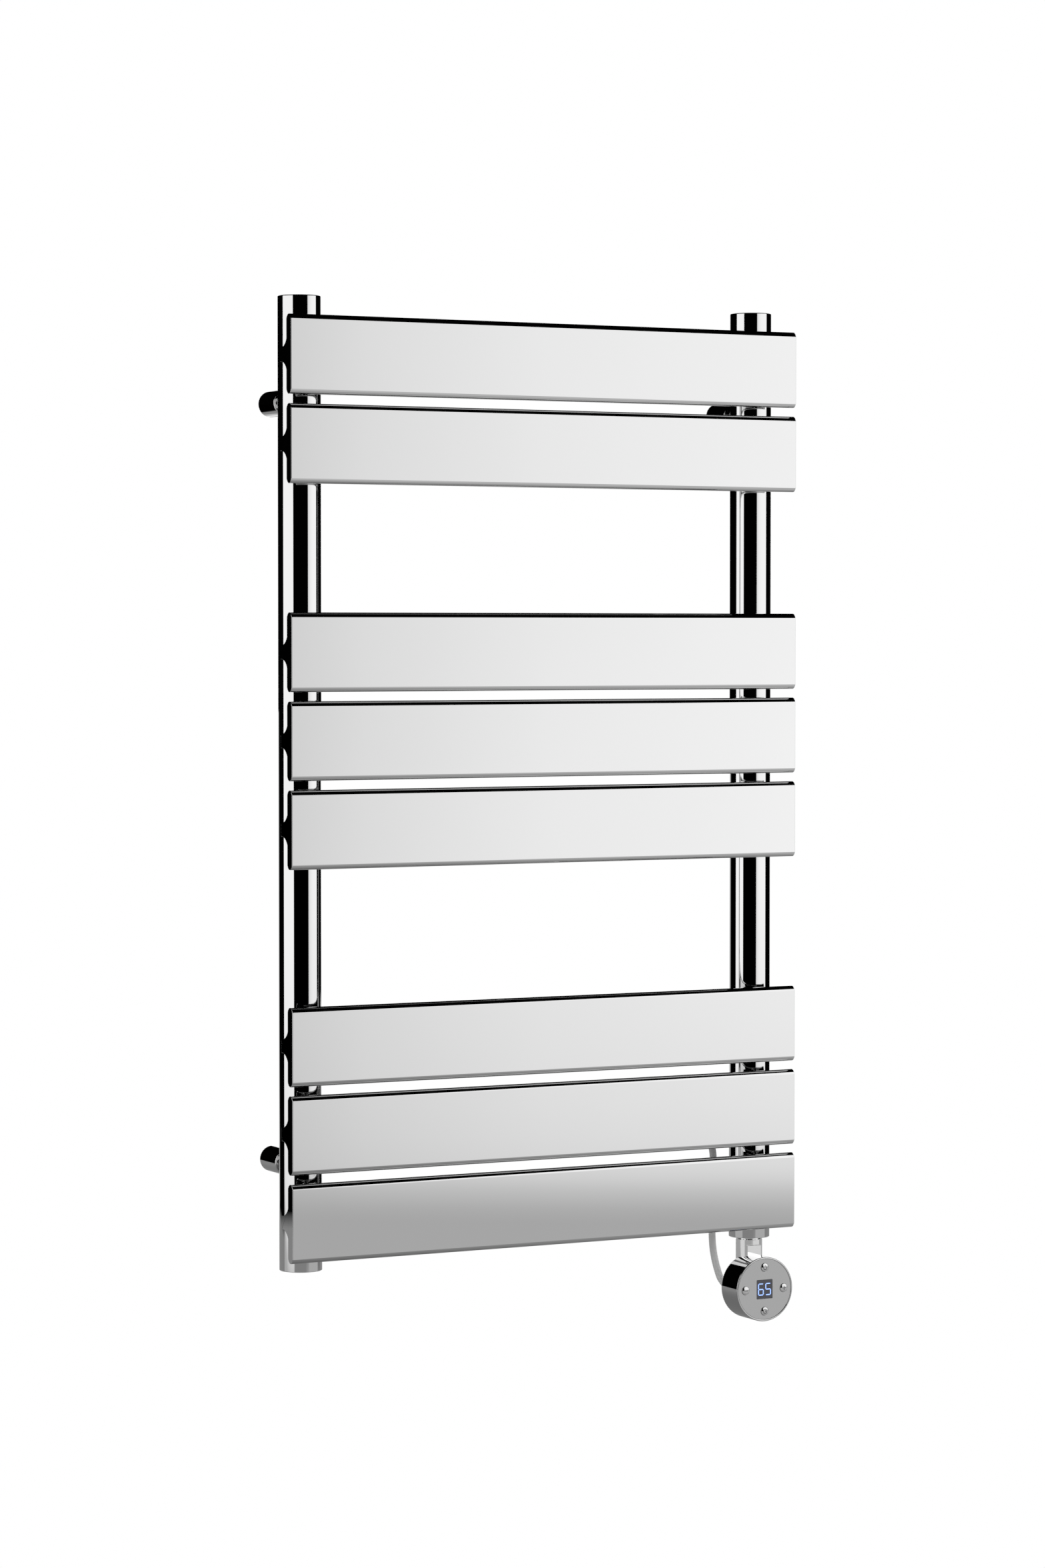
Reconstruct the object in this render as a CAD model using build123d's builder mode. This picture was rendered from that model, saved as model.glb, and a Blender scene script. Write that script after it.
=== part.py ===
"""Electric towel warmer rack: eight flat chrome panels on two collectors, with a control head.

Millimetres. X runs to the right, Y into the wall and Z up. The origin is the centre of the
four wall screws, on the wall plane. The rack hangs on four telescopic wall sleeves.
"""
from math import cos, hypot, pi, radians, sin, tan

from build123d import *
import os

# ---- driving dimensions: panels and collectors ----
rail_width = 500.0
rail_projection = 100.0
panel_height = 68.0
panel_thickness = 10.0
panel_edge_radius = 4.2
panel_wall = 1.3
panel_gap = 7.9
panel_groups = (3, 3, 2)
group_gaps = (117.8, 109.8)
lowest_panel_rise = 10.9
end_cap_thickness = 2.0

collector_height = 840.0
collector_spacing = 450.0
collector_radius = 18.5
collector_wall = 2.0
collector_setback = 61.5
top_cap_thickness = 3.0

saddle_width = 50.0
saddle_depth = 13.0
saddle_root = 12.9
saddle_flank_y = 5.0
saddle_flank_z = 7.6
saddle_tip = 6.0
port_width = 22.0
port_height = 6.0

# ---- wall brackets ----
bracket_spacing_z = 660.0
sleeve_radius = 11.1
sleeve_length = 33.0
sleeve_base = 3.0
post_radius = 8.0
post_end_y = -14.0
running_clearance = 0.05
wall_hole_radius = 3.0
lock_screw_y = -25.0
lock_screw_radius = 1.5
lock_head_radius = 1.8
lock_head_rise = 3.9
lock_head_thickness = 1.0
screw_gap = 0.15
grub_radius = 2.0
grub_length = 2.5

# ---- bottom fittings, plug and vent ----
fitting_length = 16.0
thread_radius = 10.2
seal_radius = 11.6
seal_depth = 1.8
plug_length = 12.0
socket_across_corners = 9.2
socket_depth = 7.0
vent_drop = 25.0
vent_radius = 6.0
vent_thread_radius = 4.9
vent_screw_radius = 2.5
vent_slot_width = 1.0

# ---- heating element ----
element_radius = 5.0
element_length = 480.0
element_start_drop = 12.0
sensor_radius = 2.0
sensor_offset = 7.6
sensor_length = 210.0
neck_radius = 12.0
neck_step_radius = 10.4
neck_step_height = 2.0
neck_bottom_drop = 32.0
neck_flat_offset = 9.7
neck_flat_drop = 7.0

# ---- control head ----
head_drop = 45.4
head_radius = 29.25
head_depth = 30.0
head_front_setback = 28.5
head_rim = 1.65
head_ledge_radius = 25.4
head_back_wall = 2.2
face_recess = 0.4
face_thickness = 2.5
face_clearance = 0.1
gasket_thickness = 0.6
window_width = 16.4
window_height = 17.4
window_thickness = 1.4
window_clearance = 0.1
board_radius = 24.5
board_thickness = 1.6
board_front_gap = 5.5
button_circle = 20.0
button_radius = 3.85
button_clearance = 0.1
button_rise = 1.3
button_dome = 0.8
button_flange_radius = 4.6
button_flange = 0.8
button_stem_radius = 1.5
button_travel = 0.8
switch_size = 6.0
switch_height = 2.0
boss_radius = 19.0
boss_depth = 12.0
boss_wall = 2.0
boss_wire_hole = 8.0
cover_screw_circle = 14.5
cover_screw_radius = 1.2
cover_screw_head = 2.3

# ---- mains cable ----
cable_radius = 3.2
strain_relief_length = 20.0
strain_relief_base = 5.6
strain_relief_tip = 4.0
exit_x_offset = -1.2
exit_drop = 12.6
exit_direction = (-0.05, 0.954, 0.295)
hank_layers = 3
hank_fold_radius = 6.0 * cable_radius
hank_length = 150.0
hank_waist = 6.6
hank_edge = 3.0
hank_centre_x = 205.0
hank_centre_y = -24.5
hank_rest_gap = 0.3
tie_width = 4.6
tie_thickness = 1.2
tail_length = 34.0
core_radius = 1.1
core_length = 24.0
ferrule_radius = 1.4
ferrule_length = 9.0

# ---- worked out from the driving dimensions ----
bottom_z = -collector_height / 2
top_z = collector_height / 2
collector_x = collector_spacing / 2
collector_y = -collector_setback
front_y = -rail_projection
panel_y = front_y + panel_thickness / 2
panel_back_y = front_y + panel_thickness
bracket_z = bracket_spacing_z / 2
head_z = bottom_z - head_drop
head_front_y = collector_y - head_front_setback
head_back_y = head_front_y + head_depth
boss_back_y = head_back_y + boss_depth
face_front_y = head_front_y + face_recess
face_back_y = face_front_y + face_thickness
ledge_y = face_back_y + gasket_thickness
board_front_y = face_back_y + board_front_gap
board_back_y = board_front_y + board_thickness
board_switch_y = board_front_y - switch_height
cable_diameter = 2 * cable_radius


def panel_centres():
    """Heights of the panels' middles, from the lowest panel to the highest."""
    centres = []
    base = bottom_z + lowest_panel_rise
    for group, count in enumerate(panel_groups):
        for index in range(count):
            centres.append(base + panel_height / 2)
            base += panel_height + panel_gap
        if group < len(group_gaps):
            base += group_gaps[group] - panel_gap
    return centres


def facing_wall(y, x=0.0, z=0.0):
    """Plane at depth y whose normal points at the wall, with sketch X along +X."""
    return Plane(origin=(x, y, z), x_dir=(1, 0, 0), z_dir=(0, 1, 0))


def facing_up(x, y, z):
    """Horizontal plane whose origin is the given point."""
    return Plane(origin=(x, y, z))


def disc(plane, radius, height, mode=Mode.ADD):
    """A cylinder from the plane along its normal, or against it for a negative height."""
    with Locations(plane.offset(min(height, 0))):
        Cylinder(radius, abs(height), align=(Align.CENTER, Align.CENTER, Align.MIN), mode=mode)


def save(part, label):
    """Labels one finished piece and writes its file."""
    part.label = label
    export_step(part, f"parts/{label}.step")


os.makedirs("parts", exist_ok=True)
centres = panel_centres()

# ---- panels: hollow flat tubes with a welded cap in each end ----
inner_height = panel_height - 2 * panel_wall
inner_thickness = panel_thickness - 2 * panel_wall
inner_edge_radius = panel_edge_radius - panel_wall

for number, centre_z in enumerate(reversed(centres), start=1):
    with BuildPart() as panel:
        with BuildSketch(Plane.YZ.offset(-rail_width / 2)):
            with Locations((panel_y, centre_z)):
                RectangleRounded(panel_thickness, panel_height, panel_edge_radius)
                RectangleRounded(inner_thickness, inner_height, inner_edge_radius, mode=Mode.SUBTRACT)
        extrude(amount=rail_width)
        with BuildSketch(facing_wall(panel_back_y, 0, centre_z)):
            with Locations((-collector_x, 0), (collector_x, 0)):
                SlotOverall(port_width, port_height)
        extrude(amount=-2 * panel_wall, mode=Mode.SUBTRACT)
    save(panel.part, f"panel_{number}")

with BuildPart() as panel_end_caps:
    for start_x in (-rail_width / 2, rail_width / 2 - end_cap_thickness):
        with BuildSketch(Plane.YZ.offset(start_x)):
            for centre_z in centres:
                with Locations((panel_y, centre_z)):
                    RectangleRounded(inner_thickness, inner_height, inner_edge_radius)
        extrude(amount=end_cap_thickness)
save(panel_end_caps.part, "panel_end_caps")

# ---- saddles: ribs with hollow flanks that join each panel to its collector ----
saddle_tip_y = panel_back_y + saddle_depth
for side, name in ((-1, "left_saddles"), (1, "right_saddles")):
    start_x = side * collector_x - saddle_width / 2
    with BuildPart() as saddles:
        for centre_z in centres:
            with BuildSketch(Plane.YZ.offset(start_x)):
                with BuildLine():
                    upper = ThreePointArc((panel_back_y, centre_z + saddle_root),
                                          (panel_back_y + saddle_flank_y, centre_z + saddle_flank_z),
                                          (saddle_tip_y, centre_z + saddle_tip))
                    lower = ThreePointArc((panel_back_y, centre_z - saddle_root),
                                          (panel_back_y + saddle_flank_y, centre_z - saddle_flank_z),
                                          (saddle_tip_y, centre_z - saddle_tip))
                    Line(upper @ 1, lower @ 1)
                    Line(upper @ 0, lower @ 0)
                make_face()
            extrude(amount=saddle_width)
            with BuildSketch(facing_wall(panel_back_y, side * collector_x, centre_z)):
                SlotOverall(port_width, port_height)
            extrude(amount=2 * saddle_depth, mode=Mode.SUBTRACT)
        disc(facing_up(side * collector_x, collector_y, bottom_z), collector_radius,
             collector_height, Mode.SUBTRACT)
    save(saddles.part, name)

# ---- collectors: round tubes with a port for every panel ----
bore_radius = collector_radius - collector_wall
for side, name in ((-1, "left_collector"), (1, "right_collector")):
    x = side * collector_x
    base = facing_up(x, collector_y, bottom_z)
    with BuildPart() as collector:
        disc(base, collector_radius, collector_height - top_cap_thickness)
        disc(base, bore_radius, collector_height - top_cap_thickness, Mode.SUBTRACT)
        for centre_z in centres:
            with BuildSketch(facing_wall(panel_back_y, x, centre_z)):
                SlotOverall(port_width, port_height)
        extrude(amount=collector_radius, mode=Mode.SUBTRACT)
        if side < 0:
            disc(facing_wall(collector_y, x, top_z - vent_drop), vent_thread_radius,
                 2 * collector_radius, Mode.SUBTRACT)
    save(collector.part, name)

with BuildPart() as collector_top_caps:
    for side in (-1, 1):
        disc(facing_up(side * collector_x, collector_y, top_z - top_cap_thickness),
             collector_radius, top_cap_thickness)
    fillet(collector_top_caps.faces().sort_by(Axis.Z)[-2:].edges(), 0.8)
save(collector_top_caps.part, "collector_top_caps")

with BuildPart() as collector_bottom_fittings:
    for side in (-1, 1):
        base = facing_up(side * collector_x, collector_y, bottom_z)
        disc(base, bore_radius, fitting_length)
        disc(base, thread_radius, fitting_length, Mode.SUBTRACT)
        disc(base, seal_radius, seal_depth, Mode.SUBTRACT)
save(collector_bottom_fittings.part, "collector_bottom_fittings")

with BuildPart() as fitting_seals:
    for side in (-1, 1):
        base = facing_up(side * collector_x, collector_y, bottom_z)
        disc(base, seal_radius, seal_depth)
        disc(base, thread_radius, seal_depth, Mode.SUBTRACT)
save(fitting_seals.part, "fitting_seals")

# ---- blanking plug in the left collector ----
left_base = facing_up(-collector_x, collector_y, bottom_z)
with BuildPart() as blanking_plug:
    disc(left_base, thread_radius, plug_length)
    with BuildSketch(left_base):
        RegularPolygon(socket_across_corners / 2, 6)
    extrude(amount=socket_depth, mode=Mode.SUBTRACT)
save(blanking_plug.part, "blanking_plug")

# ---- air vent at the back of the left collector's top ----
vent_z = top_z - vent_drop
vent_seat_y = collector_y + collector_radius
vent_front_y = vent_seat_y - 1.8 * collector_wall
vent_back_y = vent_seat_y + 8.0
vent_screw_front_y = vent_seat_y + 1.0
vent_screw_back_y = vent_back_y + 1.5
with BuildPart() as air_vent_body:
    with BuildSketch(facing_wall(vent_seat_y, -collector_x, vent_z)):
        RegularPolygon(vent_radius, 6)
    extrude(amount=vent_back_y - vent_seat_y)
    disc(facing_wall(vent_front_y, -collector_x, vent_z), vent_thread_radius,
         vent_seat_y - vent_front_y)
    disc(facing_wall(vent_screw_front_y, -collector_x, vent_z),
         vent_screw_radius + running_clearance, vent_back_y - vent_screw_front_y, Mode.SUBTRACT)
save(air_vent_body.part, "air_vent_body")

with BuildPart() as vent_screw:
    disc(facing_wall(vent_screw_front_y + 0.3, -collector_x, vent_z), vent_screw_radius,
         vent_screw_back_y - vent_screw_front_y - 0.3)
    with BuildSketch(facing_wall(vent_screw_back_y, -collector_x, vent_z)):
        Rectangle(3 * vent_screw_radius, vent_slot_width)
    extrude(amount=-vent_slot_width, mode=Mode.SUBTRACT)
save(vent_screw.part, "vent_screw")

# ---- wall brackets: posts on the collectors inside sleeves on the wall ----
with BuildPart() as bracket_posts:
    for side in (-1, 1):
        x = side * collector_x
        for z in (-bracket_z, bracket_z):
            disc(facing_wall(collector_y, x, z), post_radius, post_end_y - collector_y)
        disc(facing_up(x, collector_y, bottom_z), collector_radius, collector_height,
             Mode.SUBTRACT)
save(bracket_posts.part, "bracket_posts")

sleeve_places = (("lower_left", -1, -1), ("lower_right", 1, -1),
                 ("upper_left", -1, 1), ("upper_right", 1, 1))
for place, side, level in sleeve_places:
    x = side * collector_x
    z = level * bracket_z
    headed = place == "lower_left"
    with BuildPart() as sleeve:
        disc(facing_wall(-sleeve_length, x, z), sleeve_radius, sleeve_length)
        mouth = sleeve.faces().sort_by(Axis.Y)[0].edges()
        fillet(mouth, 0.8)
        disc(facing_wall(-sleeve_length, x, z), post_radius + running_clearance,
             sleeve_length - sleeve_base, Mode.SUBTRACT)
        disc(facing_wall(-sleeve_base, x, z), wall_hole_radius, sleeve_base, Mode.SUBTRACT)
        disc(facing_up(x, lock_screw_y, z),
             lock_screw_radius if headed else grub_radius,
             (1.2 if headed else -1.2) * sleeve_radius, Mode.SUBTRACT)
    save(sleeve.part, f"{place}_wall_sleeve")

with BuildPart() as lower_left_lock_screw:
    shank_plane = facing_up(-collector_x, lock_screw_y, -bracket_z + post_radius + screw_gap)
    shank_length = sleeve_radius + lock_head_rise - post_radius - screw_gap
    disc(shank_plane, lock_screw_radius, shank_length)
    disc(shank_plane.offset(shank_length - lock_head_thickness), lock_head_radius,
         lock_head_thickness)
save(lower_left_lock_screw.part, "lower_left_lock_screw")

with BuildPart() as lock_grub_screws:
    for place, side, level in sleeve_places[1:]:
        grub_top = level * bracket_z - post_radius - screw_gap
        disc(facing_up(side * collector_x, lock_screw_y, grub_top), grub_radius,
             -grub_length)
save(lock_grub_screws.part, "lock_grub_screws")

# ---- heating element in the right collector ----
neck_bottom_z = bottom_z - neck_bottom_drop
element_bottom_z = bottom_z - element_start_drop
sensor_y = collector_y + sensor_offset


def on_right_axis(z):
    """Horizontal plane at height z, centred on the right collector."""
    return facing_up(collector_x, collector_y, z)


with BuildPart() as element_neck:
    disc(on_right_axis(neck_bottom_z), neck_radius, neck_bottom_drop - neck_step_height)
    flat_height = neck_bottom_drop - neck_flat_drop
    for direction in (-1, 1):
        flat_y = collector_y + direction * (neck_flat_offset + neck_radius / 2)
        with Locations((collector_x, flat_y, neck_bottom_z + flat_height / 2)):
            Box(2.2 * neck_radius, neck_radius, flat_height, mode=Mode.SUBTRACT)
    disc(on_right_axis(bottom_z - neck_step_height), neck_step_radius, neck_step_height)
    disc(on_right_axis(bottom_z), thread_radius, fitting_length)
    bore_length = element_start_drop + fitting_length
    disc(on_right_axis(element_bottom_z), element_radius, bore_length, Mode.SUBTRACT)
    disc(facing_up(collector_x, sensor_y, element_bottom_z), sensor_radius, bore_length,
         Mode.SUBTRACT)
save(element_neck.part, "element_neck")

with BuildPart() as heating_element:
    disc(on_right_axis(element_bottom_z), element_radius, element_length)
    fillet(heating_element.faces().sort_by(Axis.Z)[-1].edges(), 3.0)
save(heating_element.part, "heating_element")

with BuildPart() as temperature_sensor:
    disc(facing_up(collector_x, sensor_y, element_bottom_z), sensor_radius, sensor_length)
    fillet(temperature_sensor.faces().sort_by(Axis.Z)[-1].edges(), 1.2)
save(temperature_sensor.part, "temperature_sensor")

# ---- control head ----
with BuildPart() as head_casing:
    disc(facing_wall(head_front_y, collector_x, head_z), head_radius, head_depth)
    fillet(head_casing.faces().sort_by(Axis.Y)[-1].edges(), 3.0)
    fillet(head_casing.faces().sort_by(Axis.Y)[0].edges(), 0.9)
    disc(facing_wall(head_front_y, collector_x, head_z), head_radius - head_rim,
         ledge_y - head_front_y, Mode.SUBTRACT)
    disc(facing_wall(ledge_y, collector_x, head_z), head_ledge_radius,
         head_back_y - head_back_wall - ledge_y, Mode.SUBTRACT)
    disc(on_right_axis(neck_bottom_z), neck_radius, neck_bottom_drop, Mode.SUBTRACT)
    disc(facing_wall(head_back_y - 2 * head_back_wall, collector_x, head_z - 4.0), boss_wire_hole,
         4 * head_back_wall, Mode.SUBTRACT)
save(head_casing.part, "head_casing")

with BuildPart() as rear_cover:
    disc(facing_wall(head_back_y, collector_x, head_z), boss_radius, boss_depth)
    fillet(rear_cover.faces().sort_by(Axis.Y)[-1].edges(), 2.0)
    disc(facing_wall(head_back_y, collector_x, head_z - 3.0), boss_radius - boss_wall - 3.0,
         boss_depth - boss_wall, Mode.SUBTRACT)
    disc(on_right_axis(neck_bottom_z), neck_radius, neck_bottom_drop, Mode.SUBTRACT)
    for angle in (200, 340):
        screw_x = collector_x + cover_screw_circle * cos(radians(angle))
        screw_z = head_z + cover_screw_circle * sin(radians(angle))
        disc(facing_wall(head_back_y, screw_x, screw_z), cover_screw_head + 1.2,
             boss_depth - boss_wall)
        disc(facing_wall(head_back_y, screw_x, screw_z), cover_screw_radius, boss_depth,
             Mode.SUBTRACT)
        disc(facing_wall(boss_back_y - 1.2, screw_x, screw_z), cover_screw_head, 1.2,
             Mode.SUBTRACT)
save(rear_cover.part, "rear_cover")

with BuildPart() as rear_cover_screws:
    for angle in (200, 340):
        screw_x = collector_x + cover_screw_circle * cos(radians(angle))
        screw_z = head_z + cover_screw_circle * sin(radians(angle))
        disc(facing_wall(head_back_y, screw_x, screw_z), cover_screw_radius, boss_depth)
        disc(facing_wall(boss_back_y - 1.2, screw_x, screw_z), cover_screw_head, 1.0)
        with Locations((screw_x, boss_back_y - 0.2, screw_z)):
            Box(3.2, 0.7, 0.7, mode=Mode.SUBTRACT)
            Box(0.7, 0.7, 3.2, mode=Mode.SUBTRACT)
save(rear_cover_screws.part, "rear_cover_screws")

with BuildPart() as face_gasket:
    disc(facing_wall(face_back_y, collector_x, head_z), head_radius - head_rim, gasket_thickness)
    disc(facing_wall(face_back_y, collector_x, head_z), head_ledge_radius, gasket_thickness,
         Mode.SUBTRACT)
save(face_gasket.part, "face_gasket")

button_places = {"button_power": (0, 1), "button_minus": (-1, 0), "button_plus": (1, 0),
                 "button_timer": (0, -1)}

with BuildPart() as face_plate:
    with BuildSketch(facing_wall(face_front_y, collector_x, head_z)):
        Circle(head_radius - head_rim - face_clearance)
        Rectangle(window_width + 2 * window_clearance, window_height + 2 * window_clearance,
                  mode=Mode.SUBTRACT)
        with PolarLocations(button_circle, len(button_places)):
            Circle(button_radius + button_clearance, mode=Mode.SUBTRACT)
    extrude(amount=face_thickness)
save(face_plate.part, "face_plate")

with BuildPart() as display_window:
    with BuildSketch(facing_wall(face_front_y + 0.1, collector_x, head_z)):
        RectangleRounded(window_width, window_height, 0.8)
    extrude(amount=window_thickness)
save(display_window.part, "display_window")

with BuildPart() as display_module:
    module_front_y = face_front_y + 0.1 + window_thickness
    with BuildSketch(facing_wall(module_front_y, collector_x, head_z)):
        Rectangle(window_width, window_height)
    extrude(amount=board_front_y - module_front_y)
save(display_module.part, "display_module")

with BuildPart() as circuit_board:
    disc(facing_wall(board_front_y, collector_x, head_z), board_radius, board_thickness)
save(circuit_board.part, "circuit_board")

with BuildPart() as tact_switches:
    with BuildSketch(facing_wall(board_switch_y, collector_x, head_z)):
        with PolarLocations(button_circle, len(button_places), rotate=False):
            Rectangle(switch_size, switch_size)
    extrude(amount=switch_height)
save(tact_switches.part, "tact_switches")

button_front_y = face_front_y - button_rise
dome_edge_y = button_front_y + button_dome
dome_sphere = (button_radius ** 2 + button_dome ** 2) / (2 * button_dome)
dome_middle = (button_radius / 2,
               button_front_y + dome_sphere - (dome_sphere ** 2 - button_radius ** 2 / 4) ** 0.5)
flange_front_y = face_back_y + 0.1
flange_back_y = flange_front_y + button_flange
stem_end_y = board_switch_y - button_travel - 0.1
for name, (toward_x, toward_z) in button_places.items():
    x = collector_x + toward_x * button_circle
    z = head_z + toward_z * button_circle
    with BuildPart() as button:
        with BuildSketch(Plane(origin=(x, 0, z), x_dir=(1, 0, 0), z_dir=(0, 0, 1))):
            with BuildLine():
                Polyline((0, button_front_y), (0, stem_end_y), (button_stem_radius, stem_end_y),
                         (button_stem_radius, flange_back_y), (button_flange_radius, flange_back_y),
                         (button_flange_radius, flange_front_y), (button_radius, flange_front_y),
                         (button_radius, dome_edge_y))
                ThreePointArc((button_radius, dome_edge_y), dome_middle, (0, button_front_y))
            make_face()
        revolve(axis=Axis((x, 0, z), (0, 1, 0)))
    save(button.part, name)

with BuildPart() as power_relay:
    with Locations((collector_x - 14.0, board_back_y + 6.5, head_z - 8.0)):
        Box(10.0, 13.0, 15.0)
save(power_relay.part, "power_relay")

with BuildPart() as terminal_block:
    with Locations((collector_x + 3.0, board_back_y + 5.0, head_z - 17.0)):
        Box(17.0, 10.0, 8.0)
        with GridLocations(5.0, 0, 3, 1):
            Box(2.6, 10.0, 5.0, mode=Mode.SUBTRACT)
save(terminal_block.part, "terminal_block")

# ---- mains cable: strain relief, free run, hank with its tie, and stripped end ----
exit_x = collector_x + exit_x_offset
exit_z = head_z - exit_drop
relief_plane = Plane(origin=(exit_x, boss_back_y, exit_z), z_dir=exit_direction)
relief_root = 6.0
with BuildPart() as strain_relief:
    with BuildSketch(relief_plane.offset(-relief_root)):
        Circle(strain_relief_base)
    with BuildSketch(relief_plane.offset(strain_relief_length)):
        Circle(strain_relief_tip)
    loft()
    split(bisect_by=facing_wall(boss_back_y), keep=Keep.TOP)
    for step in range(3):
        with BuildSketch(relief_plane.offset(strain_relief_length - 4.0 - 4.0 * step)):
            Circle(2 * strain_relief_base)
            Circle(strain_relief_tip - 0.1 + 0.3 * step, mode=Mode.SUBTRACT)
        extrude(amount=1.4, mode=Mode.SUBTRACT)
save(strain_relief.part, "strain_relief")

cable_route = [
    (222.8, -28.9, -472.1), (222.2, -16.9, -468.4), (221.0, -11.4, -458.5),
    (217.5, -10.8, -445.0), (213.6, -14.0, -430.0), (210.8, -18.6, -411.0),
    (209.0, -22.6, -388.0), (208.6, -24.6, -364.0), (208.4, -24.6, -342.0),
    (199.0, -24.6, -325.0), (182.0, -24.5, -315.5), (162.5, -24.5, -315.3),
]


def route_radii(points):
    """The largest arc that each corner's two runs allow, and the runs' lengths."""
    radii = []
    runs = [(Vector(*b) - Vector(*a)).length for a, b in zip(points, points[1:])]
    for index in range(1, len(points) - 1):
        before = Vector(*points[index]) - Vector(*points[index - 1])
        after = Vector(*points[index + 1]) - Vector(*points[index])
        turn = radians(before.get_angle(after))
        radii.append(0.45 * min(before.length, after.length) / tan(turn / 2))
    return radii, runs


radii, runs = route_radii(cable_route)
print("cable runs  ", [round(run, 1) for run in runs])
print("cable radii ", [round(radius, 1) for radius in radii])

hank_bottom_z = -bracket_z + sleeve_radius + hank_rest_gap
hank_height = hank_layers * cable_diameter
lobe_radius = hank_fold_radius + cable_radius
lobe_offset = hank_length / 2 - lobe_radius
flank_radius = ((lobe_offset ** 2 + hank_waist ** 2 - lobe_radius ** 2)
                / (2 * (lobe_radius - hank_waist)))
flank_offset = hank_waist + flank_radius
centre_line = hypot(lobe_offset, flank_offset)
meet_x = lobe_offset - lobe_radius * lobe_offset / centre_line
meet_y = lobe_radius * flank_offset / centre_line
hank_plane = facing_up(hank_centre_x, hank_centre_y, hank_bottom_z)

with BuildPart() as cable_hank:
    with BuildSketch(hank_plane):
        Rectangle(2 * meet_x, 2 * meet_y)
        with Locations((0, -flank_offset), (0, flank_offset)):
            Circle(flank_radius, mode=Mode.SUBTRACT)
        with Locations((-lobe_offset, 0), (lobe_offset, 0)):
            Circle(lobe_radius)
    extrude(amount=hank_height)
    fillet(cable_hank.faces().sort_by(Axis.Z)[-1].edges(), hank_edge)
    fillet(cable_hank.faces().sort_by(Axis.Z)[0].edges(), hank_edge)
save(cable_hank.part, "cable_hank")

with BuildPart() as cable_run:
    with BuildLine():
        route_wire = FilletPolyline(*cable_route, radius=radii)
    with BuildSketch(Plane(origin=route_wire @ 0, z_dir=route_wire % 0)):
        Circle(cable_radius)
    sweep(path=route_wire)
expected_volume = pi * cable_radius ** 2 * route_wire.length
print("cable run length", round(route_wire.length, 1))
print("volume over section times length", round(cable_run.part.volume / expected_volume, 4))
save(cable_run.part, "cable_run")

with BuildPart() as cable_tie:
    tie_plane = Plane.YZ.offset(hank_centre_x - tie_width / 2)
    middle_z = hank_bottom_z + hank_height / 2
    with BuildSketch(tie_plane):
        with Locations((hank_centre_y, middle_z)):
            RectangleRounded(2 * (hank_waist + tie_thickness) + 0.4,
                             hank_height + 2 * tie_thickness + 0.2, hank_edge)
            RectangleRounded(2 * hank_waist + 0.4, hank_height + 0.2, hank_edge - tie_thickness,
                             mode=Mode.SUBTRACT)
    extrude(amount=tie_width)
    with Locations((hank_centre_x, hank_centre_y - hank_waist - 3.0, middle_z)):
        Box(6.4, 3.6, 5.6)
save(cable_tie.part, "cable_tie")

tail_z = hank_bottom_z + hank_height + cable_radius
tail_start_x = hank_centre_x + 5.0
tail_end_x = tail_start_x + tail_length
tail_plane = Plane(origin=(tail_start_x, hank_centre_y, tail_z), z_dir=(1, 0, 0))
with BuildPart() as cable_tail:
    disc(tail_plane, cable_radius, tail_length)
save(cable_tail.part, "cable_tail")

core_spacing = 1.9
with BuildPart() as cable_cores:
    with BuildSketch(tail_plane.offset(tail_length)):
        with PolarLocations(core_spacing - 0.5, 3):
            Circle(core_radius)
    extrude(amount=core_length)
save(cable_cores.part, "cable_cores")

with BuildPart() as core_ferrules:
    with BuildSketch(tail_plane.offset(tail_length + core_length)):
        with PolarLocations(core_spacing - 0.5, 3):
            Circle(core_radius)
    extrude(amount=ferrule_length)
save(core_ferrules.part, "core_ferrules")
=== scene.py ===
"""Looks of the towel warmer rack: smooth chrome shells, the control head and the mains cable."""
from math import atan2, cos, hypot, pi, radians, sin, sqrt

import bmesh
import bpy
from mathutils import Matrix, Vector


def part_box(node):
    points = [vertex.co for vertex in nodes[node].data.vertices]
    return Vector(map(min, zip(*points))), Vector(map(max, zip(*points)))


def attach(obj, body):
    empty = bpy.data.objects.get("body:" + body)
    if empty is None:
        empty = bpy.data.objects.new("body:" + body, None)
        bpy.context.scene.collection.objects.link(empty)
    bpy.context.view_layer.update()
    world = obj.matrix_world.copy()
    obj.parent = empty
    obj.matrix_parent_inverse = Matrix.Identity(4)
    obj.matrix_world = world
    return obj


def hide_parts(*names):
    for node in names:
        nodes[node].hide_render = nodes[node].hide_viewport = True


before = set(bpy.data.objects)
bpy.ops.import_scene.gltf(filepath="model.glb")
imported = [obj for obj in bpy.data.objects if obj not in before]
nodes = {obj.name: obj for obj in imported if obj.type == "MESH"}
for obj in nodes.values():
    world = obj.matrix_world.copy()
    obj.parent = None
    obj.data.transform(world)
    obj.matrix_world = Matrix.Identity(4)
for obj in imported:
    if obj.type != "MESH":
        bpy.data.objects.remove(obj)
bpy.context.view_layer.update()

MM = 0.001
FINE_STEPS = 128
STEPS = 96
SMALL_STEPS = 72
BAR_STEPS = 48
FERRULE_STEPS = 20


# ---------------------------------------------------------------- frame sizes
def node_box(name):
    """Lowest and highest corner of a CAD node."""
    low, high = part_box(name)
    return Vector(low), Vector(high)


def node_middle(name):
    """The middle of a CAD node's box."""
    low, high = node_box(name)
    return (low + high) / 2


def node_size(name):
    """The lengths of a CAD node's box."""
    low, high = node_box(name)
    return high - low


def front_middle(low, high):
    """The middle of a box's front face (-Y)."""
    return Vector(((low.x + high.x) / 2, low.y, (low.z + high.z) / 2))


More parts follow.
